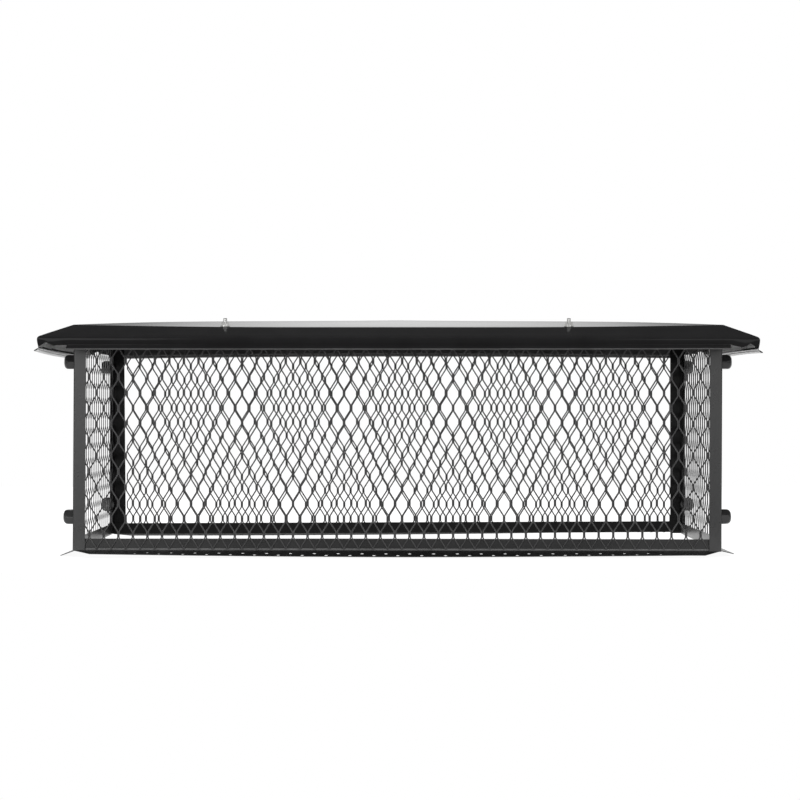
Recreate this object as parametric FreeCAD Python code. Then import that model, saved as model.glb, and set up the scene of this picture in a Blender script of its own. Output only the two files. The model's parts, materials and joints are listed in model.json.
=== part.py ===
import FreeCAD, Part
import math
import os
from FreeCAD import Vector

os.makedirs("parts", exist_ok=True)

# Frame: origin at the middle of the base, +X along the length, -Y to the front, +Z up.
# Every size is in millimetres.

# Body, measured over the outer faces of the corner posts
body_length = 1041.4
body_depth = 431.8
wall_height = 358.8          # from the bend of the base flange to the edge of the deck

# Sheet thicknesses and the inside radius of their bends
frame_sheet = 1.2
frame_bend = 1.5
lid_sheet = 0.8
lid_bend = 2.4

# Clearances
seat_clearance = 0.1         # a part that rests on or butts against another
thread_clearance = 0.1       # nut on bolt, over the radius
hole_clearance = 0.5         # bolt in its hole, over the radius

# Corner posts: angles with a narrow leg in the front wall and wide ones elsewhere
post_front_leg = 20.0
post_back_leg = 26.0
post_side_leg = 26.0
post_top_gap = 3.4           # room under the lid's outer bend

# Expanded metal, laid behind the posts and in front of the rails
mesh_thickness = 2.0
mesh_strand = 4.6            # width of one strand
mesh_bond = 24.0             # height of the knuckle where four strands meet
mesh_pitch_across = 63.0     # from one upright row of gaps to the next, nearest fit
mesh_pitch_up = 115.0
mesh_edge = 3.0              # plain edge at the top and the bottom
mesh_end = 24.0              # plain edge at each end, behind the post
mesh_foot_gap = 1.6          # mesh starts this far above the flange's bend

# Bottom rails with the flange that lies on the chimney crown
rail_foot_height = 18.5
flange_width = 28.0          # horizontal reach of the flange
front_flange_drop = 5.6      # fall of its top face over that reach, bent by hand at each wall
back_flange_drop = 3.6
left_flange_drop = 10.3      # the steepest, on whose edge the cap stands
right_flange_drop = 7.5
hole_radius = 3.175
hole_pitch = 38.1
inner_row = 14.8             # from the bend to the inner row of holes
outer_row = 23.0             # from the bend to the outer row
hole_end_margin = 92.0       # least distance from the wall's end to the outer row's first hole

# Top rails, whose flange carries the lid
rail_top_height = 40.0
rail_top_flange = 24.0

# Lid
deck_inset = 2.7             # the deck's bend lies inside the posts' outer faces
crown_rise = 17.3            # the cross-broken deck rises this much to its middle
eave_reach = 50.9            # horizontal reach of the sloping eave
eave_drop = 18.4
skirt_drop = 16.6
skirt_lean = 1.6             # the skirt leans inwards by this much
lip_reach = 7.0
lip_drop = 3.6
hem_width = 5.0              # the sheet is turned back under the lip
eave_end_relief = 45.0       # the front lip stops this far short of the skirt's corner
skirt_end_rise = 3.0         # the skirt's ends are cut this much shorter
notch_apex = 14.0            # the corner notch: distance of its apex from the side skirt
notch_rise = 8.4             # and its height over the skirt's lower edge
notch_reach = 26.0           # and where its inner side runs out

# Lid fasteners: a bolt from below, a washer and a hex nut
lid_bolt_spacing = 553.4
lid_bolt_inset = 12.7        # from the posts' outer faces
lid_bolt_radius = 3.175
lid_bolt_stand = 13.0        # above the deck
lid_head_width = 11.1        # across flats
lid_head_height = 4.0
washer_radius = 7.9
washer_thickness = 1.6
lid_nut_width = 11.1
lid_nut_height = 5.6
lid_nut_chamfer = 0.7
lid_bolt_chamfer = 0.7

# Corner fasteners: a bolt from inside and a hex cap nut on the side of each post
corner_low = 53.1            # above the flange's bend
corner_high = 302.1
corner_inset = 14.0          # from the front and back outer faces
corner_bolt_radius = 4.0
corner_head_radius = 9.0
corner_head_height = 3.5
cap_nut_width = 22.2         # across flats
cap_nut_height = 15.0
cap_nut_chamfer = 5.0
cap_nut_end = 3.0            # thickness of the closed end

# Levels and faces worked out from the sizes above
half_length = body_length / 2
half_depth = body_depth / 2
steepest = math.atan2(left_flange_drop, flange_width)
bend_level = left_flange_drop + frame_sheet * math.cos(steepest)
deck_level = bend_level + wall_height
post_top = deck_level - post_top_gap
post_skin = frame_sheet + mesh_thickness     # from a post's outer face to the rail's face
apex_level = deck_level + crown_rise
skirt_level = deck_level - eave_drop - skirt_drop
lip_level = skirt_level - lip_drop

# Each wall is drawn as the front one and turned into its place
walls = {
    "front": (0, half_depth, half_length, front_flange_drop),
    "right": (90, half_length, half_depth, right_flange_drop),
    "back": (180, half_depth, half_length, back_flange_drop),
    "left": (270, half_length, half_depth, left_flange_drop),
}
end_signs = {"left": -1, "right": 1}
face_signs = {"front": -1, "back": 1}


def section_plane(out, up):
    return Vector(0, -out, up)


def plan_plane(across, along):
    return Vector(across, along, 0)


def front_plane(across, up):
    return Vector(across, 0, up)


def unit(start, end):
    length = math.hypot(end[0] - start[0], end[1] - start[1])
    return (end[0] - start[0]) / length, (end[1] - start[1]) / length


# A path parallel to the given one, at a distance to the right of travel
def offset_path(path, distance):
    rights = [(unit(a, b)[1], -unit(a, b)[0]) for a, b in zip(path, path[1:])]
    moved = [(path[0][0] + rights[0][0] * distance, path[0][1] + rights[0][1] * distance)]
    for point, before, after in zip(path[1:-1], rights, rights[1:]):
        scale = distance / (1 + before[0] * after[0] + before[1] * after[1])
        moved.append((point[0] + (before[0] + after[0]) * scale,
                      point[1] + (before[1] + after[1]) * scale))
    moved.append((path[-1][0] + rights[-1][0] * distance, path[-1][1] + rights[-1][1] * distance))
    return moved


# Bend radii of a path and of its parallel: the outside of each bend has the larger one
def bend_radii(path, thickness, radius):
    near, far = [0.0], [0.0]
    for a, b, c in zip(path, path[1:], path[2:]):
        first, second = unit(a, b), unit(b, c)
        turns_right = first[0] * second[1] - first[1] * second[0] < 0
        near.append(radius + thickness if turns_right else radius)
        far.append(radius if turns_right else radius + thickness)
    return near + [0.0], far + [0.0]


# A closed outline with rounded corners, as a face
def rounded_face(points, radii, plane):
    arrivals, leavings, middles = [], [], []
    count = len(points)
    for index, (point, radius) in enumerate(zip(points, radii)):
        back = unit(point, points[index - 1])
        ahead = unit(point, points[(index + 1) % count])
        half_angle = math.acos(max(-1.0, min(1.0, back[0] * ahead[0] + back[1] * ahead[1]))) / 2
        cut = radius / math.tan(half_angle)
        arrivals.append((point[0] + back[0] * cut, point[1] + back[1] * cut))
        leavings.append((point[0] + ahead[0] * cut, point[1] + ahead[1] * cut))
        bisector = (back[0] + ahead[0], back[1] + ahead[1])
        size = math.hypot(*bisector)
        reach = radius / math.sin(half_angle) - radius
        middles.append((point[0] + bisector[0] / size * reach, point[1] + bisector[1] / size * reach))
    edges = []
    for index in range(count):
        if radii[index] > 0:
            edges.append(Part.Arc(plane(*arrivals[index]), plane(*middles[index]),
                                  plane(*leavings[index])).toShape())
        following = (index + 1) % count
        edges.append(Part.makeLine(plane(*leavings[index]), plane(*arrivals[following])))
    return Part.Face(Part.Wire(edges))


# A sheet bent along a path, with its thickness to the right of travel
def bent_sheet(path, thickness, radius, plane):
    near, far = bend_radii(path, thickness, radius)
    outline = path + offset_path(path, thickness)[::-1]
    return rounded_face(outline, near + far[::-1], plane)


def sharp_face(points, plane):
    corners = [plane(*point) for point in points]
    return Part.Face(Part.makePolygon(corners + corners[:1]))


def along_x(face, half):
    face.translate(Vector(-half, 0, 0))
    return face.extrude(Vector(2 * half, 0, 0))


def turned(shape, angle):
    return shape.rotated(Vector(0, 0, 0), Vector(0, 0, 1), angle)


def hexagon(width, height):
    radius = width / math.sqrt(3)
    corners = [(radius * math.cos(math.radians(60 * k)), radius * math.sin(math.radians(60 * k)))
               for k in range(6)]
    return sharp_face(corners, plan_plane).extrude(Vector(0, 0, height))


def save(shape, name):
    if not shape.isValid():
        raise ValueError(name + " is not a valid shape")
    solid = shape.Solids[0] if len(shape.Solids) == 1 else shape
    solid.exportStep("parts/" + name + ".step")
    print(f"{name}: {len(shape.Solids)} solid, {shape.Volume / 1000:.1f} cubic centimetres")


# Centres of a row of holes, evenly about the wall's middle: the inner row has one fewer
def hole_row(half, fewer):
    count = int(2 * (half - hole_end_margin) / hole_pitch) + 1 - fewer
    return [(k - (count - 1) / 2) * hole_pitch for k in range(count)]


# The short walls' rails end behind the long ones
def rail_reach(out, half):
    reach = half - post_skin - seat_clearance
    return reach if half > out else reach - frame_sheet


def base_rail(out, half, drop):
    face = out - post_skin
    path = [(face, bend_level + rail_foot_height), (face, bend_level),
            (face + flange_width, bend_level - drop)]
    reach = rail_reach(out, half)
    rail = along_x(bent_sheet(path, frame_sheet, frame_bend, section_plane), reach)
    # The flange's ends are mitred, from just outside the upright leg
    start, run = -face - frame_bend / 4, flange_width * 2
    plan = [(reach, start), (reach - run, start - run), (reach + run, start - run), (reach + run, start)]
    mitre = sharp_face(plan, plan_plane).extrude(Vector(0, 0, bend_level * 2))
    mitre.translate(Vector(0, 0, -bend_level / 2))
    rail = rail.cut([mitre, mitre.mirror(Vector(0, 0, 0), Vector(1, 0, 0))])
    drills = []
    for distance, fewer in ((inner_row, 1), (outer_row, 0)):
        for across in hole_row(half, fewer):
            drills.append(Part.makeCylinder(hole_radius, bend_level * 2,
                                            Vector(across, -face - distance, -bend_level / 2)))
    return rail.cut(drills)


# The part of the plan that one wall's facet of the deck covers
def deck_wedge(out, half, reach):
    half_deck, out_deck = half - deck_inset, out - deck_inset
    share = 1 + reach / out_deck
    corners = [(0, 0), (-half_deck * share, -out_deck * share), (half_deck * share, -out_deck * share)]
    face = sharp_face(corners, plan_plane)
    return face.extrude(Vector(0, 0, apex_level + lid_sheet))


def deck_slope(out):
    return math.atan2(crown_rise, out - deck_inset)


def top_rail(out, half):
    face = out - post_skin
    slope = deck_slope(out)
    drop = (lid_sheet + seat_clearance) / math.cos(slope)
    seat = deck_level - drop + (out - deck_inset - face) * math.tan(slope)
    inner = (face - rail_top_flange, seat + rail_top_flange * math.tan(slope))
    path = [inner, (face, seat), (face, deck_level - rail_top_height)]
    rail = along_x(bent_sheet(path, frame_sheet, frame_bend, section_plane), rail_reach(out, half))
    # The flange is mitred under the creases of the deck, and the upright leg runs on
    leg = Part.makeBox(4 * half, frame_sheet, apex_level, Vector(-2 * half, -face, 0))
    flange = rail.cut(leg).common(deck_wedge(out - seat_clearance, half - seat_clearance, 0))
    rail = rail.common(leg).fuse(flange).removeSplitter()
    if half > out:
        for sign in (-1, 1):
            rail = rail.cut(lid_fastener_hole(sign, out))
    return rail


# Places a shape drawn on the deck's top face, upright at the origin, at one lid bolt
def on_deck(shape, sign, out):
    slope = deck_slope(out)
    inset = lid_bolt_inset - deck_inset
    placed = shape.rotated(Vector(0, 0, 0), Vector(1, 0, 0), math.degrees(slope))
    return placed.translated(Vector(sign * lid_bolt_spacing / 2, -(out - lid_bolt_inset),
                                    deck_level + inset * math.tan(slope)))


def lid_fastener_hole(sign, out):
    reach = 4 * (lid_sheet + frame_sheet)
    drill = Part.makeCylinder(lid_bolt_radius + hole_clearance, 2 * reach, Vector(0, 0, -reach))
    return on_deck(drill, sign, out)


def lid_bolt():
    grip = lid_sheet + seat_clearance + frame_sheet
    length = grip + lid_bolt_stand - lid_bolt_chamfer
    shank = Part.makeCylinder(lid_bolt_radius, length, Vector(0, 0, -grip))
    tip = Part.makeCone(lid_bolt_radius, lid_bolt_radius - lid_bolt_chamfer, lid_bolt_chamfer,
                        Vector(0, 0, length - grip))
    head = hexagon(lid_head_width, lid_head_height)
    head.translate(Vector(0, 0, -grip - lid_head_height))
    return head.fuse([shank, tip]).removeSplitter()


def lid_washer():
    ring = Part.makeCylinder(washer_radius, washer_thickness)
    return ring.cut(Part.makeCylinder(lid_bolt_radius + hole_clearance, washer_thickness))


# A hex nut whose outer corners are turned off, with a bore of the given depth
def hex_nut(width, height, chamfer, bore_radius, bore_depth):
    corner = width / math.sqrt(3)
    profile = [(0, 0), (corner, 0), (corner, height - chamfer), (corner - chamfer, height),
               (0, height)]
    turned_blank = sharp_face(profile, front_plane).revolve(Vector(0, 0, 0), Vector(0, 0, 1), 360)
    bore = Part.makeCylinder(bore_radius + thread_clearance, bore_depth)
    return hexagon(width, height).common(turned_blank).cut(bore)


def lid_nut():
    nut = hex_nut(lid_nut_width, lid_nut_height, lid_nut_chamfer, lid_bolt_radius, lid_nut_height)
    nut.translate(Vector(0, 0, washer_thickness))
    return nut


# Expanded metal: pointed gaps in staggered rows, half gaps along the edges
def mesh_panel(out, half):
    face = out - frame_sheet
    # It stops at the post's inside bend, and the short panel behind the long one as well
    corner = frame_bend if half > out else max(frame_bend, mesh_thickness + seat_clearance)
    half_panel = half - frame_sheet - corner
    low = bend_level + mesh_foot_gap
    sheet = Part.makeBox(2 * half_panel, mesh_thickness, post_top - low,
                         Vector(-half_panel, -face, low))
    half_window = half - mesh_end
    window_height = post_top - low - 2 * mesh_edge
    window = Part.makeBox(2 * half_window, mesh_thickness, window_height,
                          Vector(-half_window, -face, low + mesh_edge))
    columns = round(2 * half_window / mesh_pitch_across)
    rows = round(window_height / mesh_pitch_up)
    pitch_across = 2 * half_window / columns
    pitch_up = window_height / rows
    # Each gap is bounded by four slanting strands and two upright knuckles
    strand_slope = math.atan2(pitch_up / 2 - mesh_bond, pitch_across / 2)
    half_gap = pitch_across / 2 - mesh_strand * 0.6
    tip = pitch_up / 2 - mesh_bond / 2 - mesh_strand / 2 / math.cos(strand_slope)
    shoulder = tip - half_gap * math.tan(strand_slope)
    outline = [(-half_gap, -shoulder), (0, -tip), (half_gap, -shoulder),
               (half_gap, shoulder), (0, tip), (-half_gap, shoulder)]
    gap = sharp_face(outline, front_plane).extrude(Vector(0, mesh_thickness, 0))
    gaps = []
    for stagger in (0, 1):
        for column in range(columns + 1 - stagger):
            for row in range(rows + 1 - stagger):
                gaps.append(gap.translated(Vector((column + stagger / 2) * pitch_across - half_window,
                                                  -face,
                                                  (row + stagger / 2) * pitch_up + low + mesh_edge)))
    return sheet.cut(Part.makeCompound(gaps).common(window))


def post(front_or_back, left_or_right):
    leg = post_front_leg if front_or_back == "front" else post_back_leg
    path = [(-half_length + leg, -half_depth), (-half_length, -half_depth),
            (-half_length, -half_depth + post_side_leg)]
    angle = bent_sheet(path, frame_sheet, frame_bend, plan_plane)
    angle.translate(Vector(0, 0, bend_level))
    solid = angle.extrude(Vector(0, 0, post_top - bend_level))
    if left_or_right == "right":
        solid = solid.mirror(Vector(0, 0, 0), Vector(1, 0, 0))
    if front_or_back == "back":
        solid = solid.mirror(Vector(0, 0, 0), Vector(0, 1, 0))
    return solid


# Places a shape drawn upright at the origin, its foot on a post's outer side face
def on_post(shape, end, face, height):
    placed = shape.rotated(Vector(0, 0, 0), Vector(0, 1, 0), 90 * end)
    return placed.translated(Vector(end * half_length, face * (half_depth - corner_inset),
                                    bend_level + height))


def corner_drills(end, face):
    reach = 3 * post_skin
    drill = Part.makeCylinder(corner_bolt_radius + hole_clearance, 2 * reach, Vector(0, 0, -reach))
    return [on_post(drill, end, face, height) for height in (corner_low, corner_high)]


def corner_bolt():
    length = post_skin + cap_nut_height - cap_nut_end - hole_clearance
    shank = Part.makeCylinder(corner_bolt_radius, length, Vector(0, 0, -post_skin))
    dome_radius = (corner_head_radius ** 2 + corner_head_height ** 2) / (2 * corner_head_height)
    dome = Part.makeSphere(dome_radius, Vector(0, 0, dome_radius - corner_head_height - post_skin))
    disc = Part.makeCylinder(corner_head_radius, corner_head_height,
                             Vector(0, 0, -post_skin - corner_head_height))
    return dome.common(disc).fuse(shank).removeSplitter()


# Turned so that two flats lie level once it is on the post
def cap_nut():
    nut = hex_nut(cap_nut_width, cap_nut_height, cap_nut_chamfer, corner_bolt_radius,
                  cap_nut_height - cap_nut_end)
    return nut.rotated(Vector(0, 0, 0), Vector(0, 0, 1), 30)


# Half section of the lid's top face, from the middle of the deck out to the lip
def lid_path(out):
    edge = out - deck_inset
    return [(0, apex_level), (edge, deck_level),
            (edge + eave_reach, deck_level - eave_drop),
            (edge + eave_reach - skirt_lean, skirt_level),
            (edge + eave_reach - skirt_lean + lip_reach, lip_level)]


# A solid over the whole plan whose half section lies under the given path
def ridge_solid(path, radii, half):
    mirrored = [(-out, up) for out, up in path[:0:-1]]
    points = mirrored + path
    all_radii = radii[:0:-1] + radii
    return along_x(rounded_face(points, all_radii, section_plane), half)


def lid_body(out, inner):
    path = lid_path(out)
    near, far = bend_radii(path, lid_sheet, lid_bend)
    if not inner:
        under = offset_path(path, 2 * lid_sheet)
        return path + [under[-1]], near + [0.0]
    # The inside follows the sheet, then steps down over the hem that is turned back
    once, twice = offset_path(path, lid_sheet), offset_path(path, 2 * lid_sheet)
    along = unit(path[-2], path[-1])
    hem_start = (once[-1][0] - along[0] * hem_width, once[-1][1] - along[1] * hem_width)
    hem_under = (twice[-1][0] - along[0] * hem_width, twice[-1][1] - along[1] * hem_width)
    apex = (0, once[1][1] + once[1][0] * math.tan(deck_slope(out)))
    points = [apex] + once[1:-1] + [hem_start, hem_under, twice[-1],
                                    (twice[-1][0], twice[-1][1] - lip_reach)]
    return points, far[:-1] + [0.0, 0.0, 0.0, 0.0]


def hipped_solid(inner):
    solids = []
    for name in ("front", "right"):
        angle, out, half = walls[name][:3]
        points, radii = lid_body(out, inner)
        solids.append(turned(ridge_solid(points, radii, 2 * half), angle))
    return solids[0].common(solids[1])


# The front and back skirts are cut back at their ends, with an open notch at each corner
def skirt_relief():
    edge = half_length - deck_inset + eave_reach
    foot = skirt_level + skirt_end_rise
    outline = [(edge - eave_end_relief, lip_level - lip_reach), (edge - eave_end_relief, foot),
               (edge - notch_reach, foot), (edge - notch_apex, skirt_level + notch_rise),
               (edge - skirt_lean, skirt_level), (edge + lip_reach * 2, skirt_level),
               (edge + lip_reach * 2, lip_level - lip_reach)]
    radii = [0.0, 0.0, notch_rise * 2, 0.0, 0.0, 0.0, 0.0]
    tool = rounded_face(outline, radii, front_plane)
    front = half_depth - deck_inset + eave_reach
    tool.translate(Vector(0, -front - lip_reach * 2, 0))
    cutter = tool.extrude(Vector(0, lip_reach * 2 + skirt_lean + lid_sheet * 3, 0))
    cutters = [cutter, cutter.mirror(Vector(0, 0, 0), Vector(1, 0, 0))]
    return cutters + [each.mirror(Vector(0, 0, 0), Vector(0, 1, 0)) for each in cutters]


def lid():
    solid = hipped_solid(False).cut(hipped_solid(True))
    drills = []
    for angle in (walls["front"][0], walls["back"][0]):
        drills += [turned(lid_fastener_hole(sign, half_depth), angle) for sign in (-1, 1)]
    return solid.cut(drills + skirt_relief())


save(lid(), "lid")

for wall, (angle, out, half, drop) in walls.items():
    save(turned(base_rail(out, half, drop), angle), "base_rail_" + wall)
    save(turned(top_rail(out, half), angle), "top_rail_" + wall)
    panel = turned(mesh_panel(out, half), angle)
    if wall in end_signs:
        for face in face_signs.values():
            panel = panel.cut(corner_drills(end_signs[wall], face))
    save(panel, "mesh_" + wall)

for side, face in face_signs.items():
    for hand, end in end_signs.items():
        place = side + "_" + hand
        save(post(side, hand).cut(corner_drills(end, face)), "post_" + place)
        for level, height in (("low", corner_low), ("high", corner_high)):
            save(on_post(corner_bolt(), end, face, height), "corner_bolt_" + place + "_" + level)
            save(on_post(cap_nut(), end, face, height), "cap_nut_" + place + "_" + level)
        # The back pair is the front pair turned half round, so its hands swap
        angle = walls[side][0]
        sign = end if side == "front" else -end
        for piece, name in ((lid_bolt(), "lid_bolt_"), (lid_washer(), "lid_washer_"),
                            (lid_nut(), "lid_nut_")):
            save(turned(on_deck(piece, sign, half_depth), angle), name + place)
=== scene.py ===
import bpy
import bmesh
import json
import math
from mathutils import Vector, Matrix


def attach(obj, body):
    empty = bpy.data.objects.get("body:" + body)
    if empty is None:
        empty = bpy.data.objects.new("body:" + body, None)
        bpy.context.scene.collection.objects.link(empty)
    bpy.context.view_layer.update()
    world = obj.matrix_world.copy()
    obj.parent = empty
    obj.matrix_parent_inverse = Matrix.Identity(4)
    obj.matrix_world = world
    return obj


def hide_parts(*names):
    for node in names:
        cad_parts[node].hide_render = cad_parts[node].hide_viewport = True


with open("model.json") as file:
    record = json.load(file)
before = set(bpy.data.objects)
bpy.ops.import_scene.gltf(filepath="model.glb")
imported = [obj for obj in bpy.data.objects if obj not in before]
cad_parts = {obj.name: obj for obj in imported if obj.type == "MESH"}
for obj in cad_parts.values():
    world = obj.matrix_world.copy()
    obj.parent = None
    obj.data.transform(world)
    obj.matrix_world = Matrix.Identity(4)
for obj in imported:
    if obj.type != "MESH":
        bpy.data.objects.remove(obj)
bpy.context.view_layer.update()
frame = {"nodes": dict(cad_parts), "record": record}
scene = bpy.context.scene

# Metres throughout: +X along the cap, -Y to the front, +Z up, the base at z = 0

# Camera: 88 mm lens, 3.15 m in front of the front wall, a little over half its height
cameraSpec = {"lens": 88.4, "place": (0.0048, -3.3669, 0.2395), "up": 0.2333}
cameraData = bpy.data.cameras.new("camera")
cameraData.lens = cameraSpec["lens"]
cameraData.sensor_width = 36.0
cameraData.clip_end = 100.0
camera = bpy.data.objects.new("camera", cameraData)
camera.location = cameraSpec["place"]
camera.rotation_euler = (math.radians(90 + cameraSpec["up"]), 0, 0)
scene.collection.objects.link(camera)
scene.camera = camera
scene.view_settings.view_transform = "Standard"
print("camera set")


def addNode(tree, kind, place=(0, 0), **settings):
    node = tree.nodes.new(kind)
    node.location = place
    for name, value in settings.items():
        setattr(node, name, value)
    return node


def link(tree, start, end):
    tree.links.new(start, end)


def grey(level):
    return level, level, level


# Stops are (position, colour)
def addRamp(tree, place, stops):
    ramp = addNode(tree, "ShaderNodeValToRGB", place)
    elements = ramp.color_ramp.elements
    while len(elements) < len(stops):
        elements.new(0.5)
    for element, (position, color) in zip(elements, stops):
        element.position = position
        element.color = (*color, 1)
    return ramp


# 1 for the rays that show a background: from the camera, in a reflection or through glass
def addShown(tree, paths, place):
    glossy = addNode(tree, "ShaderNodeMath", (place[0] - 200, place[1]), operation="ADD")
    either = addNode(tree, "ShaderNodeMath", place, operation="ADD", use_clamp=True)
    link(tree, paths.outputs["Is Camera Ray"], glossy.inputs[0])
    link(tree, paths.outputs["Is Glossy Ray"], glossy.inputs[1])
    link(tree, glossy.outputs[0], either.inputs[0])
    link(tree, paths.outputs["Is Transmission Ray"], either.inputs[1])
    return either.outputs[0]


# World: an even level for the light that falls on the cap. The camera sees white, and
# reflections see that white low behind the cap and a dim room elsewhere. A stop's position is
# half of 1 + the sine of the elevation, and the two ramps blend over the given range of Y.
worldSpec = {
    "behind": [(0.0, grey(0.6)), (0.49, grey(0.8)), (0.50, grey(1.0)), (0.63, grey(1.0)),
               (0.67, grey(0.35)), (0.71, grey(0.085)), (0.84, grey(0.035)), (1.0, grey(0.045))],
    "ahead": [(0.0, grey(0.16)), (0.49, grey(0.20)), (0.52, grey(0.30)), (0.75, grey(0.16)),
              (1.0, grey(0.06))],
    "level": 0.42, "blend": (-0.35, 0.25),
}
world = bpy.data.worlds.new("studio")
scene.world = world
world.use_nodes = True
worldTree = world.node_tree
worldTree.nodes.clear()
worldOut = addNode(worldTree, "ShaderNodeOutputWorld", (900, 0))
worldMix = addNode(worldTree, "ShaderNodeMixShader", (700, 0))
paths = addNode(worldTree, "ShaderNodeLightPath", (-300, 500))
shown = addShown(worldTree, paths, (300, 400))
lit = addNode(worldTree, "ShaderNodeBackground", (500, 150))
lit.inputs["Color"].default_value = (*grey(worldSpec["level"]), 1)
seen = addNode(worldTree, "ShaderNodeBackground", (500, -50))
whiteToCamera = addNode(worldTree, "ShaderNodeMixRGB", (400, -150))
whiteToCamera.inputs[2].default_value = (1, 1, 1, 1)
coordinates = addNode(worldTree, "ShaderNodeTexCoord", (-500, 0))
split = addNode(worldTree, "ShaderNodeSeparateXYZ", (-300, 0))
rising = addNode(worldTree, "ShaderNodeMapRange", (-100, 100))
rising.inputs["From Min"].default_value = -1.0
facing = addNode(worldTree, "ShaderNodeMapRange", (-100, -200))
facing.inputs["From Min"].default_value = worldSpec["blend"][0]
facing.inputs["From Max"].default_value = worldSpec["blend"][1]
behind = addRamp(worldTree, (100, 150), worldSpec["behind"])
ahead = addRamp(worldTree, (100, -100), worldSpec["ahead"])
blend = addNode(worldTree, "ShaderNodeMixRGB", (350, 50))
link(worldTree, coordinates.outputs["Generated"], split.inputs[0])
link(worldTree, split.outputs["Z"], rising.inputs["Value"])
link(worldTree, split.outputs["Y"], facing.inputs["Value"])
link(worldTree, rising.outputs[0], behind.inputs[0])
link(worldTree, rising.outputs[0], ahead.inputs[0])
link(worldTree, facing.outputs[0], blend.inputs[0])
link(worldTree, ahead.outputs[0], blend.inputs[1])
link(worldTree, behind.outputs[0], blend.inputs[2])
link(worldTree, blend.outputs[0], whiteToCamera.inputs[1])
link(worldTree, paths.outputs["Is Camera Ray"], whiteToCamera.inputs[0])
link(worldTree, whiteToCamera.outputs[0], seen.inputs["Color"])
link(worldTree, shown, worldMix.inputs[0])
link(worldTree, lit.outputs[0], worldMix.inputs[1])
link(worldTree, seen.outputs[0], worldMix.inputs[2])
link(worldTree, worldMix.outputs[0], worldOut.inputs[0])


# Lights: a soft box on each side of the camera, and one overhead whose image the flat lid
# doesn't catch
lightTarget = (0, 0, 0.2)
lightSpecs = {
    "left_box": {"place": (-1.60, -2.85, 0.95), "size": (2.0, 2.2), "power": 34, "mirrored": True},
    "right_box": {"place": (1.60, -2.85, 0.95), "size": (2.0, 2.2), "power": 23, "mirrored": True},
    "high_box": {"place": (0, 0.2, 2.8), "size": (3.0, 2.0), "power": 55, "mirrored": False},
}
for name, spec in lightSpecs.items():
    data = bpy.data.lights.new(name, "AREA")
    data.shape = "RECTANGLE"
    data.size, data.size_y = spec["size"]
    data.energy = spec["power"]
    lamp = bpy.data.objects.new(name, data)
    lamp.location = spec["place"]
    lamp.visible_glossy = spec["mirrored"]
    aim = Vector(lightTarget) - Vector(spec["place"])
    lamp.rotation_euler = aim.to_track_quat("-Z", "Y").to_euler()
    scene.collection.objects.link(lamp)
print("lights set")


# Floor: white to the camera and in reflections, with a faint shadow
floorSpec = {"halfLength": 2.6, "near": -0.5, "far": 2.6, "drop": 0.0005,
             "paper": 0.8, "seenPaper": 0.25, "seenGlow": 0.93}
half, near, far = floorSpec["halfLength"], floorSpec["near"], floorSpec["far"]
floorMesh = bpy.data.meshes.new("floor")
floorMesh.from_pydata([(-half, near, 0), (half, near, 0), (half, far, 0), (-half, far, 0)], [],
                      [(0, 1, 2, 3)])
floor = bpy.data.objects.new("floor", floorMesh)
floor.location = (0, 0, -floorSpec["drop"])
scene.collection.objects.link(floor)
floorPaint = bpy.data.materials.new("floor_paper")
floorPaint.use_nodes = True
tree = floorPaint.node_tree
tree.nodes.clear()
floorOut = addNode(tree, "ShaderNodeOutputMaterial", (800, 0))
chosen = addNode(tree, "ShaderNodeMixShader", (600, 0))
floorPaths = addNode(tree, "ShaderNodeLightPath", (200, 400))
both = addNode(tree, "ShaderNodeAddShader", (400, -100))
plain = addNode(tree, "ShaderNodeBsdfDiffuse", (200, 100))
plain.inputs["Color"].default_value = (*grey(floorSpec["paper"]), 1)
paper = addNode(tree, "ShaderNodeBsdfDiffuse", (200, -50))
paper.inputs["Color"].default_value = (*grey(floorSpec["seenPaper"]), 1)
glow = addNode(tree, "ShaderNodeEmission", (200, -200))
glow.inputs["Color"].default_value = (1, 1, 1, 1)
glow.inputs["Strength"].default_value = floorSpec["seenGlow"]
link(tree, paper.outputs[0], both.inputs[0])
link(tree, glow.outputs[0], both.inputs[1])
link(tree, addShown(tree, floorPaths, (400, 400)), chosen.inputs[0])
link(tree, plain.outputs[0], chosen.inputs[1])
link(tree, both.outputs[0], chosen.inputs[2])
link(tree, chosen.outputs[0], floorOut.inputs[0])
floorMesh.materials.append(floorPaint)
print("floor set")


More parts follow.
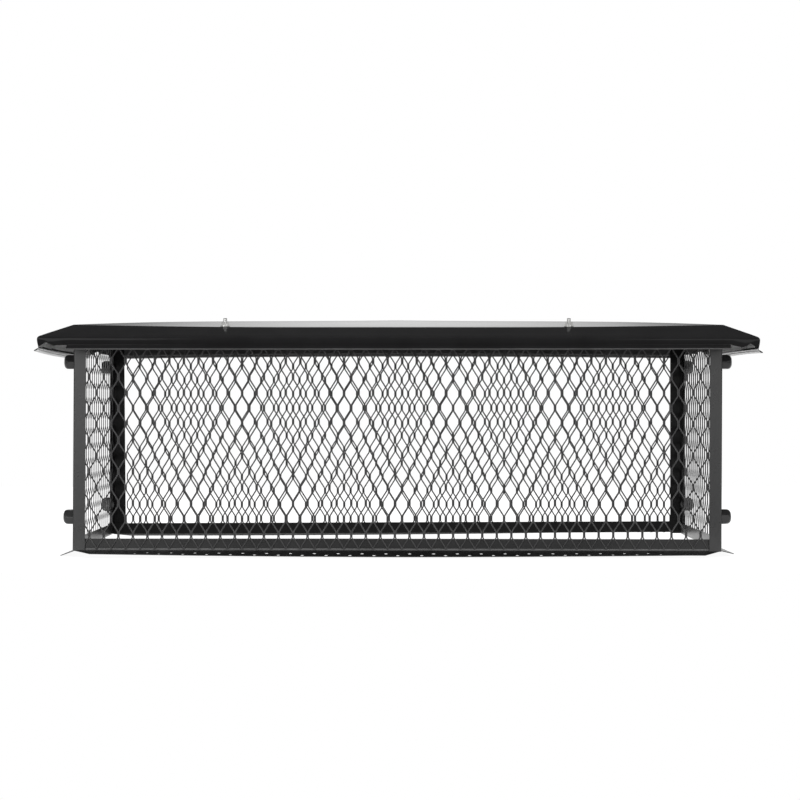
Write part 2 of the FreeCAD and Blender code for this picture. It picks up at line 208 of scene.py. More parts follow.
# Paints: gloss black powder coat, a little duller on the frame and the mesh, then painted light: a
# pale painted reflection inside the side skirts and under their lips, painted highlights on the
# front posts, the front rail's bend and the right rail's inside, a painted reflection on the front
# lip's hem, and the thin paint inside the lid and the dull back rail
paints = {
    "lid_enamel": {"color": (0.0160, 0.0158, 0.0163), "rough": 0.12, "swing": 0.03,
                   "mirror": 0.12, "grain": 700, "peel": 0.003, "dust": 0.002},
    "frame_enamel": {"color": (0.010, 0.010, 0.0103), "rough": 0.28, "swing": 0.07,
                     "mirror": 0.38, "grain": 1100, "peel": 0.05, "dust": 0.010},
    "mesh_enamel": {"color": (0.030, 0.029, 0.030), "rough": 0.30, "swing": 0.07,
                    "mirror": 0.60, "grain": 1500, "peel": 0.05, "dust": 0.010},
    "fastener_enamel": {"color": (0.018, 0.018, 0.0185), "rough": 0.30, "swing": 0.07,
                        "mirror": 0.50, "grain": 1500, "peel": 0.06, "dust": 0.006},
    # Painted reflection: pale paint for the bright surroundings the side skirts mirror inside and
    # below
    "painted_reflection_sheet": {"color": (0.88, 0.88, 0.875), "rough": 0.38, "swing": 0.05,
                   "mirror": 0.50, "grain": 500, "peel": 0.04, "dust": 0.06},
    # Painted highlight: the frame paint made lighter for the light the front posts' faces catch
    "post_painted_light": {"color": (0.022, 0.022, 0.0225), "rough": 0.28, "swing": 0.07,
                   "mirror": 0.50, "grain": 1100, "peel": 0.05, "dust": 0.010},
    # Painted highlight: lighter paint on the front rail's bend and the right rail's inner face
    "painted_highlight": {"color": grey(0.14), "rough": 0.30, "swing": 0.05,
                    "mirror": 0.50, "grain": 500, "peel": 0.04, "dust": 0.05},
    # Painted reflection: lighter paint on the front lip's edge and hem
    "hem_painted_reflection": {"color": grey(0.090), "rough": 0.30, "swing": 0.05,
                 "mirror": 0.30, "grain": 500, "peel": 0.04, "dust": 0.02},
    "inside_paint": {"color": grey(0.055), "rough": 0.45, "swing": 0.05,
                     "mirror": 0.50, "grain": 500, "peel": 0.04, "dust": 0.02},
    "dull_rail": {"color": grey(0.010), "rough": 0.60, "swing": 0.05,
                  "mirror": 0.15, "grain": 500, "peel": 0.04, "dust": 0.004},
}
paintCloud = {"scale": 14.0, "detail": 6.0, "roughness": 0.65, "from": 0.30, "to": 0.75,
              "shade": 0.8, "grainDetail": 2.0, "grainDepth": 0.0004}
zincSpec = {"scale": 260.0, "detail": 4.0, "roughness": 0.5, "rough": (0.22, 0.38),
            "tones": [(0.0, (0.56, 0.56, 0.55)), (1.0, (0.82, 0.82, 0.80))]}


# A material whose tone and gloss follow one cloud pattern
def clouded(name, cloudSpec, tones, rough):
    material = bpy.data.materials.new(name)
    material.use_nodes = True
    tree = material.node_tree
    shader = tree.nodes["Principled BSDF"]
    place = addNode(tree, "ShaderNodeTexCoord", (-900, 0))
    cloud = addNode(tree, "ShaderNodeTexNoise", (-700, 200))
    cloud.inputs["Scale"].default_value = cloudSpec["scale"]
    cloud.inputs["Detail"].default_value = cloudSpec["detail"]
    cloud.inputs["Roughness"].default_value = cloudSpec["roughness"]
    tone = addRamp(tree, (-480, 260), tones)
    gloss = addNode(tree, "ShaderNodeMapRange", (-480, 0))
    gloss.inputs["To Min"].default_value = rough[0]
    gloss.inputs["To Max"].default_value = rough[1]
    link(tree, place.outputs["Object"], cloud.inputs["Vector"])
    link(tree, cloud.outputs["Fac"], tone.inputs[0])
    link(tree, cloud.outputs["Fac"], gloss.inputs["Value"])
    link(tree, tone.outputs[0], shader.inputs["Base Color"])
    link(tree, gloss.outputs[0], shader.inputs["Roughness"])
    return material, place, shader


def enamel(name, spec):
    tones = [(paintCloud["from"], [paintCloud["shade"] * c for c in spec["color"]]),
             (paintCloud["to"], [c + spec["dust"] for c in spec["color"]])]
    rough = spec["rough"] - spec["swing"], spec["rough"] + spec["swing"]
    material, place, shader = clouded(name, paintCloud, tones, rough)
    shader.inputs["Specular IOR Level"].default_value = spec["mirror"]
    tree = material.node_tree
    grain = addNode(tree, "ShaderNodeTexNoise", (-700, -200))
    grain.inputs["Scale"].default_value = spec["grain"]
    grain.inputs["Detail"].default_value = paintCloud["grainDetail"]
    bump = addNode(tree, "ShaderNodeBump", (-300, -200))
    bump.inputs["Strength"].default_value = spec["peel"]
    bump.inputs["Distance"].default_value = paintCloud["grainDepth"]
    link(tree, place.outputs["Object"], grain.inputs["Vector"])
    link(tree, grain.outputs["Fac"], bump.inputs["Height"])
    link(tree, bump.outputs[0], shader.inputs["Normal"])
    return material


finishes = {name: enamel(name, spec) for name, spec in paints.items()}
zinc, _, zincShader = clouded("zinc_plate", zincSpec, zincSpec["tones"], zincSpec["rough"])
zincShader.inputs["Metallic"].default_value = 1.0
finishes["zinc_plate"] = zinc
slotOf = {part["node"]: part["material_slot"] for part in frame["record"]["subparts"]}
for node, slot in slotOf.items():
    for holder in frame["nodes"][node].material_slots:
        holder.material = finishes[slot]
print("finishes set")


# Points closer than this are one
weld = 1e-6


def clamp(value):
    return min(1.0, max(0.0, value))


def finishPiece(name, mesh, slot, sharp):
    mesh.validate()
    mesh.polygons.foreach_set("use_smooth", [True] * len(mesh.polygons))
    mesh.set_sharp_from_angle(angle=math.radians(sharp))
    mesh.update()
    piece = bpy.data.objects.new(name, mesh)
    scene.collection.objects.link(piece)
    if not mesh.materials:
        mesh.materials.append(finishes[slot])
    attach(piece, "root")
    return piece


# A copy of a node's mesh, placed in the frame and with paints of its own
def copyMesh(node, name, paintNames):
    source = frame["nodes"][node]
    mesh = source.data.copy()
    mesh.transform(source.matrix_world)
    mesh.name = name
    mesh.materials.clear()
    for paint in paintNames:
        mesh.materials.append(finishes[paint])
    return mesh


def meshFromFaces(name, vertices, faces):
    work = bmesh.new()
    points = [work.verts.new(vertex) for vertex in vertices]
    for face in faces:
        work.faces.new([points[index] for index in face])
    bmesh.ops.remove_doubles(work, verts=work.verts, dist=weld)
    bmesh.ops.dissolve_degenerate(work, edges=work.edges, dist=weld)
    loose = [vertex for vertex in work.verts if not vertex.link_faces]
    bmesh.ops.delete(work, geom=loose, context="VERTS")
    mesh = bpy.data.meshes.new(name)
    work.to_mesh(mesh)
    work.free()
    return mesh


# The faces of a closed tube, whose rings of points follow each other from the first index
def tubeFaces(first, rings, corners):
    faces = []
    for ring in range(rings - 1):
        for corner in range(corners):
            a = first + ring * corners + corner
            b = first + ring * corners + (corner + 1) % corners
            faces.append((a, b, b + corners, a + corners))
    last = first + (rings - 1) * corners
    faces.append(tuple(reversed(range(first, first + corners))))
    faces.append(tuple(range(last, last + corners)))
    return faces


# A path with rounded corners, as a list of points
def roundedPath(points, radii, steps):
    result = [points[0]]
    for before, point, after, radius in zip(points, points[1:], points[2:], radii):
        corner = Vector(point)
        back = (Vector(before) - corner).normalized()
        ahead = (Vector(after) - corner).normalized()
        halfAngle = back.angle(ahead) / 2
        centre = corner + (back + ahead).normalized() * (radius / math.sin(halfAngle))
        first = corner + back * radius / math.tan(halfAngle) - centre
        last = corner + ahead * radius / math.tan(halfAngle) - centre
        turn = first.angle_signed(last)
        for step in range(steps + 1):
            angle = -turn * step / steps
            result.append((centre.x + first.x * math.cos(angle) - first.y * math.sin(angle),
                           centre.y + first.x * math.sin(angle) + first.y * math.cos(angle)))
    result.append(points[-1])
    return result


# The points that part the way between two others
def between(start, end, parts):
    return [tuple(a + (b - a) * k / parts for a, b in zip(start, end)) for k in range(1, parts)]


# Lid: one sheet, cross-broken deck, sloping eaves, skirts and a hemmed lip. Offsets in height
# are in the order front left, front right, back right, back left for corners, front, right,
# back, left for the middles of the sides. Bands are the margins of the paints' borders.
lidSpec = {
    "halfLength": 0.5214, "halfDepth": 0.2132, "shift": 0.0024, "thick": 0.0008,
    "deck": 0.3702, "apex": 0.3899, "swell": 0.0024, "swellPower": 1.8, "swellMiddle": 0.2,
    "deckShares": (0.0, 0.05, 0.12, 0.22, 0.34, 0.46, 0.58, 0.69, 0.78, 0.86, 0.92, 0.96, 0.985),
    "eaveReach": 0.0503, "eaveDrop": 0.0184, "skirtDrop": 0.0168, "skirtLean": 0.0020,
    "lipReach": 0.0068, "lipDrop": 0.0038, "hem": 0.0050, "hemRound": 0.00095, "hemSteps": 6,
    "frontLift": 0.0036, "frontLiftRight": 0.0038, "frontLipDrop": 0.0015, "bulge": 0.0006,
    "bendStart": 0.0025, "bendRounds": (0.0060, 0.0052, 0.0022), "bendSteps": 6,
    "eaveParts": 5, "skirtParts": 8, "longParts": 56, "shortParts": 30,
    "deckOffsets": {"corners": (0.0032, 0.0029, 0.0020, 0.0020),
                    "middles": (-0.0009, 0.0, 0.0, 0.0), "flat": 0.3},
    "eaveOffsets": {"corners": (0.0006, -0.0010, 0.0, 0.0),
                    "middles": (-0.0006, -0.0004, 0.0030, -0.0014), "flat": 0.0},
    "skirtOffsets": {"corners": (0.0002, -0.0030, 0.0013, -0.0001),
                     "middles": (0.0000, -0.0003, 0.0052, -0.0034), "flat": 0.0},
    "relief": 0.0450, "reliefEdge": 0.0001, "foot": 0.0030, "footEnd": 0.0005,
    "notchReach": 0.0260, "notchApex": 0.0142, "notchRise": 0.0086, "notchPower": 1.7,
    "cornerRise": 0.0018, "gussetStart": (0.0045, 0.0012), "gussetTilt": 0.20,
    "cutMarks": (0.037, 0.031, 0.0235, 0.021, 0.0185, 0.0162, 0.0115, 0.0088, 0.0062, 0.0036,
                 0.0016),
    "paints": ("lid_enamel", "inside_paint", "painted_reflection_sheet", "hem_painted_reflection"), "sharp": 24,
    "bands": {"side": 0.0045, "corner": 0.0030, "inward": 0.7, "skirtTop": 0.0020,
              "downward": 0.35, "lipTop": 0.0040, "lipInner": 0.0006, "creaseWide": 0.0012,
              "creaseTall": 0.0016, "edge": 0.0042, "edgeTop": 0.0006},
}


# u runs from -1 to 1 along a side
def alongSide(offsets, side, u):
    end = offsets["corners"][side if u < 0 else (side + 1) % 4]
    middle = offsets["middles"][side]
    share = max(0.0, (abs(u) - offsets["flat"]) / (1 - offsets["flat"])) ** 2
    return middle + (end - middle) * share


# The section beyond the deck, in rows of (out, up) from the deck's edge
def lidSection(spec):
    slope = (spec["apex"] - spec["deck"]) / spec["halfDepth"]
    start = (-spec["bendStart"], spec["bendStart"] * slope)
    eave = (spec["eaveReach"], -spec["eaveDrop"])
    crease = (eave[0] - spec["skirtLean"], eave[1] - spec["skirtDrop"])
    lipEnd = (crease[0] + spec["lipReach"], crease[1] - spec["lipDrop"])
    path = roundedPath([start, (0, 0), eave, crease, lipEnd], spec["bendRounds"],
                       spec["bendSteps"])
    size = spec["bendSteps"] + 1
    deckBend, eaveBend, lipBend = (path[1 + k * size:1 + (k + 1) * size] for k in range(3))
    rows = deckBend + between(deckBend[-1], eaveBend[0], spec["eaveParts"])
    eaveEnd = len(rows)
    rows += eaveBend + between(eaveBend[-1], lipBend[0], spec["skirtParts"])
    lipStart = len(rows) + spec["bendSteps"] // 2
    rows += lipBend + [lipEnd]
    # The hem turns back under the lip
    along = (Vector(lipEnd) - Vector(crease)).normalized()
    down = Vector((along.y, -along.x))
    centre = Vector(lipEnd) + down * spec["hemRound"]
    for step in range(1, spec["hemSteps"] + 1):
        angle = math.pi * step / spec["hemSteps"]
        rows.append(tuple(centre - down * math.cos(angle) * spec["hemRound"]
                          + along * math.sin(angle) * spec["hemRound"]))
    rows.append(tuple(Vector(rows[-1]) - along * spec["hem"]))
    return {"rows": rows, "eaveEnd": eaveEnd, "lipStart": lipStart}


# Height of the skirt's cut edge over its crease, at a distance from the lid's end
def skirtCut(spec, fromEnd):
    if fromEnd < spec["notchApex"]:
        share = fromEnd / spec["notchApex"]
        return spec["cornerRise"] + (spec["notchRise"] - spec["cornerRise"]) * share
    if fromEnd < spec["notchReach"]:
        share = (spec["notchReach"] - fromEnd) / (spec["notchReach"] - spec["notchApex"])
        return spec["foot"] + (spec["notchRise"] - spec["foot"]) * share ** spec["notchPower"]
    share = (spec["relief"] - fromEnd) / (spec["relief"] - spec["notchReach"])
    return spec["footEnd"] + (spec["foot"] - spec["footEnd"]) * share


# How far the folded corner is pushed in, beyond the line from the eave to the notch's top
def gussetPush(spec, fromEnd, up):
    startOut, startDrop = spec["gussetStart"]
    start = Vector((startOut, -spec["eaveDrop"] - startDrop))
    end = Vector((spec["notchApex"], spec["notchRise"] - spec["eaveDrop"] - spec["skirtDrop"]))
    along = (end - start).normalized()
    beyond = Vector((fromEnd, up)) - start
    return max(0.0, along.x * -beyond.y + along.y * beyond.x) * spec["gussetTilt"]


# A point of the front or right side, turned round for the back and left ones
def placed(spec, side, x, y, height):
    if side > 1:
        x, y = -x, -y
    return x + spec["shift"], y, height


def deckPoint(spec, side, u, share):
    edge = spec["deck"] + alongSide(spec["deckOffsets"], side, u)
    sideShare = spec["swellMiddle"] + (1 - spec["swellMiddle"]) * u * u
    swell = spec["swell"] * math.sin(math.pi * share ** spec["swellPower"]) * sideShare
    height = spec["apex"] * (1 - share) + edge * share + swell
    if side % 2 == 0:
        x, y = u * share * spec["halfLength"], -share * spec["halfDepth"]
    else:
        x, y = share * spec["halfLength"], u * share * spec["halfDepth"]
    return placed(spec, side, x, y, height)


def lidPoint(spec, section, side, u, level):
    longSide = side % 2 == 0
    rowOut, up = section["rows"][level]
    out = rowOut
    creaseOut = spec["eaveReach"] - spec["skirtLean"]
    fromEnd = (spec["halfLength"] + spec["eaveReach"]) * (1 - abs(u))
    if longSide and fromEnd < spec["relief"]:
        lowest = -spec["eaveDrop"] - spec["skirtDrop"] + skirtCut(spec, fromEnd)
        if up < lowest:
            skirtRows = section["rows"][:section["lipStart"]]
            out = min(skirtRows, key=lambda row: abs(row[1] - lowest))[0]
            up = lowest
    if level < section["eaveEnd"]:
        share = max(0.0, out / spec["eaveReach"])
        offset = (alongSide(spec["deckOffsets"], side, u) * (1 - share)
                  + alongSide(spec["eaveOffsets"], side, u) * share)
    else:
        share = clamp((-spec["eaveDrop"] - up) / spec["skirtDrop"])
        offset = (alongSide(spec["eaveOffsets"], side, u) * (1 - share)
                  + alongSide(spec["skirtOffsets"], side, u) * share)
        out += spec["bulge"] * math.sin(math.pi * share)
        if side == 0:
            # The front skirt is bent a little higher, and its lip steeper
            kept = (fromEnd - spec["notchReach"]) / (spec["relief"] - spec["notchReach"])
            lift = spec["frontLift"] + spec["frontLiftRight"] * max(0.0, u) ** 2
            offset += lift * share * clamp(kept)
            offset -= spec["frontLipDrop"] * clamp((rowOut - creaseOut) / spec["lipReach"])
    length, depth = spec["halfLength"] + out, spec["halfDepth"] + out
    push = 0.0
    if longSide or abs(u) == 1.0:
        push = gussetPush(spec, fromEnd if longSide else 0.0, up)
    # The lip's ends are cut square to its side
    if level >= section["lipStart"]:
        if longSide:
            length = spec["halfLength"] + creaseOut
        else:
            depth = spec["halfDepth"] + creaseOut
    x, y = (u * length, push - depth) if longSide else (length, u * (depth - push))
    return placed(spec, side, x, y, spec["deck"] + up + offset)


def lidColumns(spec, longSide):
    parts = spec["longParts"] if longSide else spec["shortParts"]
    marks = {round(-1 + 2 * k / parts, 9) for k in range(parts + 1)}
    if longSide:
        end = spec["halfLength"] + spec["eaveReach"]
        for fromEnd in (spec["relief"], spec["relief"] - spec["reliefEdge"], spec["notchReach"],
                        spec["notchApex"], *spec["cutMarks"]):
            marks |= {1 - fromEnd / end, fromEnd / end - 1}
    return sorted(marks)


# Thin paint inside. A painted reflection makes the side skirts and their lips pale inside and
# below, with the black enamel kept as a dark line at the crease, and the front lip's edge has a
# painted reflection.
def paintLid(mesh, spec):
    bands, paintIndex = spec["bands"], spec["paints"].index
    creaseOut = spec["eaveReach"] - spec["skirtLean"]
    creaseUp = spec["deck"] - spec["eaveDrop"] - spec["skirtDrop"]
    for face in mesh.polygons:
        middle, normal = face.center, face.normal
        sideOut = abs(middle.x - spec["shift"]) - spec["halfLength"]
        frontOut = abs(middle.y) - spec["halfDepth"]
        up = middle.z - creaseUp
        inward = -normal.x if middle.x > 0 else normal.x
        atSide = sideOut > max(spec["eaveReach"] - bands["side"], frontOut - bands["corner"])
        atCrease = abs(sideOut - creaseOut) < bands["creaseWide"] and abs(up) < bands["creaseTall"]
        skirtInside = inward > bands["inward"] and up < spec["skirtDrop"] + bands["skirtTop"]
        lipBelow = (normal.z < -bands["downward"] and up < bands["lipTop"]
                    and sideOut > creaseOut + bands["lipInner"])
        atFrontEdge = (middle.y < 0 and frontOut > creaseOut + bands["edge"]
                       and up < bands["edgeTop"])
        # Painted reflection: pale on the side skirts' insides and lips' undersides, black enamel
        # at the crease
        if atSide and atCrease:
            face.material_index = paintIndex("lid_enamel")
        elif atSide and (skirtInside or lipBelow):
            face.material_index = paintIndex("painted_reflection_sheet")
        # Painted reflection on the front lip's edge and hem
        elif atFrontEdge and not atSide:
            face.material_index = paintIndex("hem_painted_reflection")


def buildLid(spec):
    section = lidSection(spec)
    lipLevel = len(spec["deckShares"]) + section["lipStart"]
    levels = len(spec["deckShares"]) + len(section["rows"])
    endOut = spec["halfLength"] + spec["eaveReach"]
    vertices, faces = [], []
    for side in range(4):
        longSide = side % 2 == 0
        columns = lidColumns(spec, longSide)
        base, count = len(vertices), len(columns)
        for share in spec["deckShares"]:
            vertices += [deckPoint(spec, side, u, share) for u in columns]
        for level in range(len(section["rows"])):
            vertices += [lidPoint(spec, section, side, u, level) for u in columns]
        for level in range(levels - 1):
            for column in range(count - 1):
                fromEnd = endOut * (1 - max(abs(u) for u in columns[column:column + 2]))
                if longSide and level >= lipLevel and fromEnd < spec["relief"] - weld:
                    continue
                a = base + level * count + column
                faces.append((a, a + count, a + count + 1, a + 1))
    mesh = meshFromFaces("lid_sheet", vertices, faces)
    for paint in spec["paints"]:
        mesh.materials.append(finishes[paint])
    holder = bpy.data.objects.new("lid_holder", mesh)
    scene.collection.objects.link(holder)
    shell = holder.modifiers.new("sheet", "SOLIDIFY")
    shell.thickness = spec["thick"]
    shell.offset = -1.0
    shell.material_offset = spec["paints"].index("inside_paint")
    graph = bpy.context.evaluated_depsgraph_get()
    solid = bpy.data.meshes.new_from_object(holder.evaluated_get(graph))
    bpy.data.objects.remove(holder)
    bpy.data.meshes.remove(mesh)
    solid.name = "lid_sheet"
    paintLid(solid, spec)
    return finishPiece("lid_sheet", solid, "lid_enamel", spec["sharp"])


lidSheet = buildLid(lidSpec)
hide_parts("lid")
print("lid", len(lidSheet.data.polygons))


# Front base rail: the source's solid, its flange bowed down in the middle and its holes moved
# a little to the right, with a painted highlight along its bend
bowSpec = {
    "face": -0.2127, "width": 0.028, "bend": 0.0116, "bendTop": 0.0025, "halfLength": 0.5174,
    "cuts": 25, "cutStep": 0.02, "middleDrop": 0.0024, "middleX": -0.02, "endX": 0.48,
    "bowPower": 1.6, "leftRise": 0.0024, "rightRise": 0.0012, "rightSink": 0.0014,
    "sinkStart": -0.1, "holeShift": 0.0013, "shiftFade": 0.06, "shiftRise": 3, "sharp": 30,
    "fillet": 0.0024, "filletEnd": 0.5120, "filletSteps": 4, "filletParts": 50,
    "filletIn": 0.0004, "filletDown": 0.0010,
}


# A painted highlight along the inside of the bend, a strip sunk a little into the sheet
def addFillet(work, spec):
    steel = len(work.faces)
    face, bend, fillet, steps = spec["face"], spec["bend"], spec["fillet"], spec["filletSteps"]
    across = []
    for step in range(steps + 1):
        angle = math.pi / 2 * step / steps
        across.append((face - fillet * (1 - math.sin(angle)),
                       bend + fillet * (1 - math.cos(angle))))
    across += [(face + spec["filletIn"], bend + fillet),
               (face + spec["filletIn"], bend - spec["filletDown"]),
               (face - fillet, bend - spec["filletDown"])]
    stations = [spec["filletEnd"] * (-1 + 2 * k / spec["filletParts"])
                for k in range(spec["filletParts"] + 1)]
    rings = [[work.verts.new((x, y, z)) for y, z in across] for x in stations]
    for ring, after in zip(rings, rings[1:]):
        for k in range(len(across)):
            other = (k + 1) % len(across)
            quad = work.faces.new((ring[k], after[k], after[other], ring[other]))
            quad.material_index = 1 if k < steps else 0
    work.faces.new(rings[0])
    work.faces.new(rings[-1][::-1])
    work.faces.ensure_lookup_table()
    bmesh.ops.recalc_face_normals(work, faces=work.faces[steel:])


def bowedRail(spec):
    mesh = copyMesh("base_rail_front", "base_rail_front_bowed", ("frame_enamel", "painted_highlight"))
    work = bmesh.new()
    work.from_mesh(mesh)
    bmesh.ops.remove_doubles(work, verts=work.verts, dist=weld)
    for step in range(-spec["cuts"], spec["cuts"] + 1):
        bmesh.ops.bisect_plane(work, geom=work.verts[:] + work.edges[:] + work.faces[:],
                               dist=weld, plane_co=(step * spec["cutStep"], 0, 0),
                               plane_no=(1, 0, 0))
    addFillet(work, spec)
    for vertex in work.verts:
        x, y, z = vertex.co
        sinkShare = (x - spec["sinkStart"]) / (spec["halfLength"] - spec["sinkStart"])
        vertex.co.z -= spec["rightSink"] * max(0.0, sinkShare)
        outward = (spec["face"] - y) / spec["width"]
        if outward <= 0 or z > spec["bend"] + spec["bendTop"]:
            continue
        share = min(1.0, abs(x - spec["middleX"]) / spec["endX"]) ** spec["bowPower"]
        rise = spec["leftRise"] if x < spec["middleX"] else spec["rightRise"]
        vertex.co.z += outward * (-spec["middleDrop"] + (rise + spec["middleDrop"]) * share)
        endShare = min(1.0, (spec["halfLength"] - abs(x)) / spec["shiftFade"])
        vertex.co.x += spec["holeShift"] * endShare * min(1.0, outward * spec["shiftRise"])
    work.to_mesh(mesh)
    work.free()
    return finishPiece("base_rail_front_bowed", mesh, "frame_enamel", spec["sharp"])


frontRail = bowedRail(bowSpec)
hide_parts("base_rail_front")
print("front rail", len(frontRail.data.polygons))


# Pieces that stand a little off true: the source's solids with their points moved. The back
# rail's flange curves along its length by the three numbers of a parabola.
trueSpec = {
    "height": 0.3588, "lean": 0.0019, "rightSink": 0.0026, "postSide": 0.5207, "leg": 0.020,
    "backLeftGap": 0.0034, "backRightGap": 0.0028, "topFoot": 0.3478, "railSink": 0.0003,
    "railRise": 0.0037, "flangeFace": 0.2127, "flangeWidth": 0.028,
    "flangeCurve": (-0.0012, -0.0058, 0.0114), "sheenNormal": -0.9, "sheenFoot": 0.011,
    "sharp": 30,
}


def movedCopy(node, suffix, move, paint="frame_enamel"):
    mesh = copyMesh(node, node + suffix, [paint])
    for vertex in mesh.vertices:
        vertex.co = move(*vertex.co)
    piece = finishPiece(node + suffix, mesh, "frame_enamel", trueSpec["sharp"])
    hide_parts(node)
    return piece


def leanAt(z):
    return trueSpec["lean"] * z / trueSpec["height"]


def frontPost(x, y, z):
    sink = trueSpec["rightSink"] * (1 - z / trueSpec["height"]) if x > 0 else 0.0
    return x + leanAt(z), y, z - sink


def backPost(x, y, z):
    if abs(x) > trueSpec["postSide"] - trueSpec["leg"]:
        return x, y, z
    if x > 0:
        return x + trueSpec["backRightGap"], y, z
    return x - trueSpec["backLeftGap"] * z / trueSpec["height"], y, z


# The back rail rises to the right, its flange more so
def tiltedBack(x, y, z):
    share = (x + trueSpec["postSide"]) / (2 * trueSpec["postSide"])
    outward = clamp((y - trueSpec["flangeFace"]) / trueSpec["flangeWidth"])
    start, slope, curve = trueSpec["flangeCurve"]
    flange = start + slope * share + curve * share * share
    return x, y, z - trueSpec["railSink"] + trueSpec["railRise"] * share + flange * outward


def shortTop(x, y, z):
    return x, y, max(z, trueSpec["topFoot"])


def unmoved(x, y, z):
    return x, y, z


# The front posts take a lighter copy of the frame paint, a painted highlight
for hand in ("left", "right"):
    movedCopy("post_front_" + hand, "_leaning", frontPost, "post_painted_light")
    movedCopy("post_back_" + hand, "_narrow", backPost, "lid_enamel")
movedCopy("base_rail_back", "_tilted", tiltedBack, "dull_rail")
for wall in ("front", "back", "left", "right"):
    movedCopy("top_rail_" + wall, "_short", shortTop)
# Painted highlight: the right base rail's inner face above its flange is painted lighter
sheenRail = movedCopy("base_rail_right", "_painted_sheen", unmoved)
sheenRail.data.materials.append(finishes["painted_highlight"])
for face in sheenRail.data.polygons:
    if face.normal.x < trueSpec["sheenNormal"] and face.center.z > trueSpec["sheenFoot"]:
        face.material_index = 1
print("posts and rails moved")


# Cap nuts: hexagons with a domed end, each turned to its own angle
nutSpec = {
    "width": 0.0222, "height": 0.0162, "dome": 0.0095, "domeSteps": 8, "turned": 0.8,
    "around": 72, "side": 0.5207, "inset": 0.0140, "halfDepth": 0.2159, "sharp": 28,
    "heights": {"low": 0.0645, "high": 0.3135},
    "spins": {"front_left_low": 26, "front_left_high": 31, "front_right_low": 43,
              "front_right_high": 33, "back_left_low": 9, "back_left_high": 25,
              "back_right_low": 40, "back_right_high": 17},
}


def capNut(name, spec, end, y, z, spin, lean):
    domeStart = 1 - spec["dome"] / spec["height"]
    levels = [(0.0, 1.0), (domeStart / 2, 1.0)]
    for step in range(spec["domeSteps"] + 1):
        angle = math.pi / 2 * step / spec["domeSteps"]
        levels.append((domeStart + (1 - domeStart) * math.sin(angle), math.cos(angle)))
    corner, around = spec["width"] / math.sqrt(3), spec["around"]
    vertices = []
    for along, shrink in levels:
        # The dome is turned, so it cuts the hexagon's corners first
        limit = corner - spec["dome"] * spec["turned"] * (1 - shrink)
        for k in range(around):
            angle = 2 * math.pi * k / around
            nearest = (angle - math.radians(spin)) % (math.pi / 3) - math.pi / 6
            radius = min(spec["width"] / 2 / math.cos(nearest), limit)
            vertices.append((end * (spec["side"] + along * spec["height"]) + lean,
                             y + radius * math.sin(angle), z + radius * math.cos(angle)))
    faces = tubeFaces(0, len(levels), around)
    if end > 0:
        faces = [face[::-1] for face in faces]
    mesh = meshFromFaces(name, vertices, faces)
    return finishPiece(name, mesh, "fastener_enamel", spec["sharp"])


for place, spin in nutSpec["spins"].items():
    face, hand, level = place.split("_")
    y = (nutSpec["halfDepth"] - nutSpec["inset"]) * (-1 if face == "front" else 1)
    z = nutSpec["heights"][level]
    nut = capNut("domed_nut_" + place, nutSpec, -1 if hand == "left" else 1, y, z, spin,
                 leanAt(z) if face == "front" else 0.0)
    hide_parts("cap_nut_" + place)
print("cap nuts", len(nutSpec["spins"]))


# Expanded metal: upright ribbons that swing from bond to bond, each tilted like a louvre
expanded = {
    "strand": 0.0021, "bond": 0.0020, "thick": 0.0011, "trim": 0.24, "bondHalf": 0.0050,
    "round": 0.0012, "tilt": math.radians(16), "steepest": math.radians(32), "swing": 0.00025,
    "low": 0.0130, "high": 0.3668, "margin": 0.0004, "probe": 0.0002, "spare": 8, "sharp": 60,
}
meshWalls = {
    "front": {"angle": 0, "face": 0.2137, "half": 0.5178, "across": 0.023357, "up": 0.05067,
              "bondX": 0.0083, "bondZ": 0.0109},
    "back": {"angle": 180, "face": 0.2137, "half": 0.5000, "across": 0.023306, "up": 0.05034,
             "bondX": 0.0036, "bondZ": 0.1644},
    "left": {"angle": 270, "face": 0.5185, "half": 0.2125, "across": 0.02336, "up": 0.0507,
             "bondX": 0.0, "bondZ": 0.0109, "leans": True},
    "right": {"angle": 90, "face": 0.5185, "half": 0.2125, "across": 0.02336, "up": 0.0507,
              "bondX": 0.0, "bondZ": 0.0109, "leans": True, "mirrored": True},
}


# 0 before the turn and a straight rise after it
def roundedRise(x):
    turn = expanded["round"]
    if x <= -turn:
        return 0.0
    if x < turn:
        return (x + turn) ** 2 / (4 * turn)
    return x


# 0 in the ribbon's own bond, 1 in its neighbour's, with rounded turns between
def swingShare(height, spec):
    phase = ((height - spec["bondZ"]) / spec["up"]) % 1.0
    if phase > 0.5:
        phase = 1.0 - phase
    rise = phase * spec["up"] - expanded["bondHalf"]
    span = spec["up"] / 2 - 2 * expanded["bondHalf"]
    return (roundedRise(rise) - roundedRise(rise - span)) / span


def ribbonHeights(spec):
    low, high, margin = expanded["low"], expanded["high"], expanded["margin"]
    marks = {low, high}
    turn = expanded["round"]
    first = math.floor((low - spec["bondZ"]) / spec["up"]) - 1
    last = math.ceil((high - spec["bondZ"]) / spec["up"]) + 1
    for step in range(2 * first, 2 * last):
        middle = spec["bondZ"] + step * spec["up"] / 2
        for side in (-1, 1):
            for offset in (-turn, 0, turn):
                height = middle + side * expanded["bondHalf"] + offset
                if low + margin < height < high - margin:
                    marks.add(height)
    return sorted(marks)


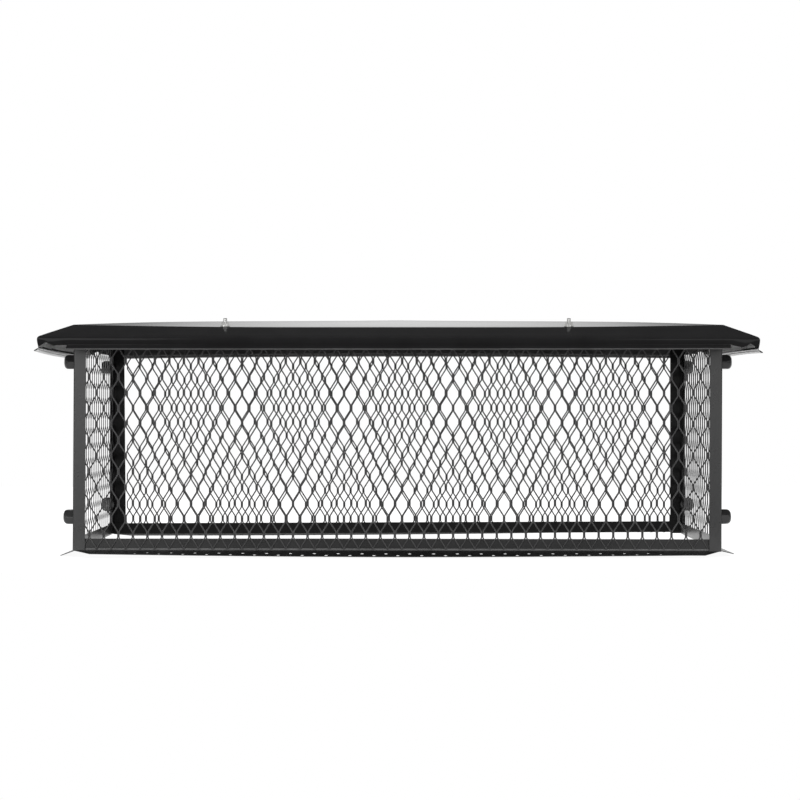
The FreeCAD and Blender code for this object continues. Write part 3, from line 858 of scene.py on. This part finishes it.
# A ribbon's outline, with its edges trimmed
def ribbonRing(width):
    wide, thick = width / 2, expanded["thick"] / 2
    trim = expanded["thick"] * expanded["trim"]
    return [(-wide, -thick + trim), (-wide + trim, -thick), (wide - trim, -thick),
            (wide, -thick + trim), (wide, thick - trim), (wide - trim, thick),
            (-wide + trim, thick), (-wide, thick - trim)]


def expandedWall(name, spec):
    vertices, faces = [], []
    heights = ribbonHeights(spec)
    bondReach, probe = expanded["bond"] / 2, expanded["probe"]
    tilt = -expanded["tilt"] if spec.get("mirrored") else expanded["tilt"]
    count = int(spec["half"] * 4 / spec["across"]) + expanded["spare"]
    for index in range(-count, count):
        # Even ribbons lie right of an own bond, odd ones left of the next
        centre = spec["bondX"] + index // 2 * spec["across"]
        halfway = centre + spec["across"] / 2
        if index % 2 == 0:
            start, end, side = centre + bondReach, halfway - bondReach, 1
        else:
            start, end, side = centre + spec["across"] - bondReach, halfway + bondReach, -1
        if min(start, end) < -spec["half"] or max(start, end) > spec["half"]:
            continue
        base = len(vertices)
        for height in heights:
            share = swingShare(height, spec)
            change = swingShare(height + probe, spec) - swingShare(height - probe, spec)
            lean = math.atan(change * (end - start) / (2 * probe))
            across = start + (end - start) * share
            depth = side * expanded["swing"] * (1 - 2 * share)
            steep = min(1.0, abs(math.sin(lean)) / math.sin(expanded["steepest"]))
            ring = ribbonRing(expanded["bond"] + (expanded["strand"] - expanded["bond"]) * steep)
            for wide, out in ring:
                tiltedWide = wide * math.cos(tilt) - out * math.sin(tilt)
                tiltedOut = wide * math.sin(tilt) + out * math.cos(tilt)
                vertices.append((across + tiltedWide * math.cos(lean),
                                 -spec["face"] + depth + tiltedOut,
                                 height - tiltedWide * math.sin(lean)))
        faces += tubeFaces(base, len(heights), len(ring))
    mesh = bpy.data.meshes.new(name)
    mesh.from_pydata(vertices, [], faces)
    mesh.transform(Matrix.Rotation(math.radians(spec["angle"]), 4, "Z"))
    if spec.get("leans"):
        for vertex in mesh.vertices:
            vertex.co.x += leanAt(vertex.co.z)
    return finishPiece(name, mesh, "mesh_enamel", expanded["sharp"])


for wall, spec in meshWalls.items():
    panel = expandedWall("expanded_metal_" + wall, spec)
    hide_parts("mesh_" + wall)
    print("expanded metal", wall, len(panel.data.polygons))
